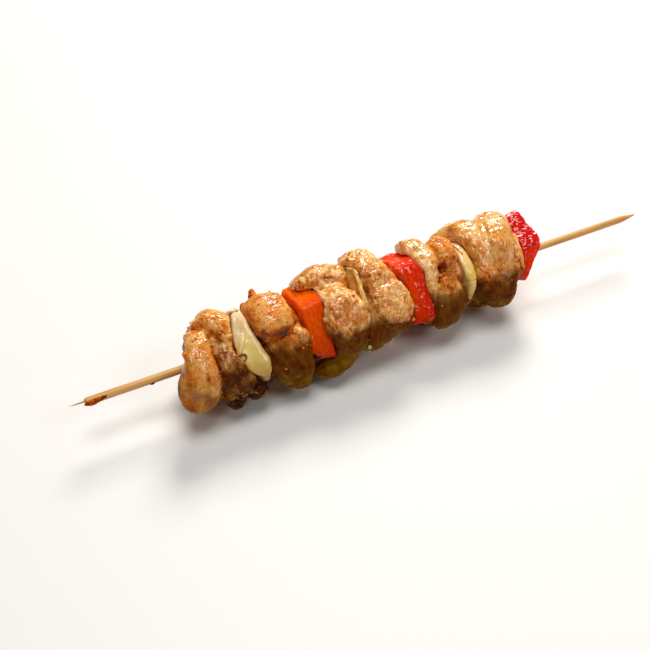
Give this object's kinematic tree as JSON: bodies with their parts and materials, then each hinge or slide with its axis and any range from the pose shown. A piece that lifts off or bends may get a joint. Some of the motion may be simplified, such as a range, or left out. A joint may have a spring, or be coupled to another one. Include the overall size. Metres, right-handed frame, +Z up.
{
  "type": "grilled chicken kebab skewer",
  "caption": "Grilled chicken kebab lying down: folded chunks of browned chicken, red pepper squares and onion petals on a round bamboo skewer with a sharpened point.",
  "frame": {"origin": "on the resting surface, under the middle of the bounding box, which is the middle of the stick", "axes": "+X along the stick towards its sharpened point, +Z up, -Y the side of the food that the viewer sees"},
  "size_m": [0.25, 0.0384, 0.039],
  "materials": {
    "skewer": "dry bamboo with fine lengthwise grain",
    "chicken": "moist browned meat, glossy in patches",
    "pepper": "soft wet flesh with a darker skin side",
    "onion": "translucent wet flesh"
  },
  "bodies": {
    "root": {"skewer_stick": "skewer", "chicken_1": "chicken", "onion_1": "onion", "chicken_2": "chicken", "pepper_1": "pepper", "chicken_3": "chicken", "onion_2": "onion", "chicken_4": "chicken", "pepper_2": "pepper", "chicken_5": "chicken", "onion_3": "onion", "chicken_6": "chicken", "pepper_3": "pepper"}
  },
  "joints": []
}
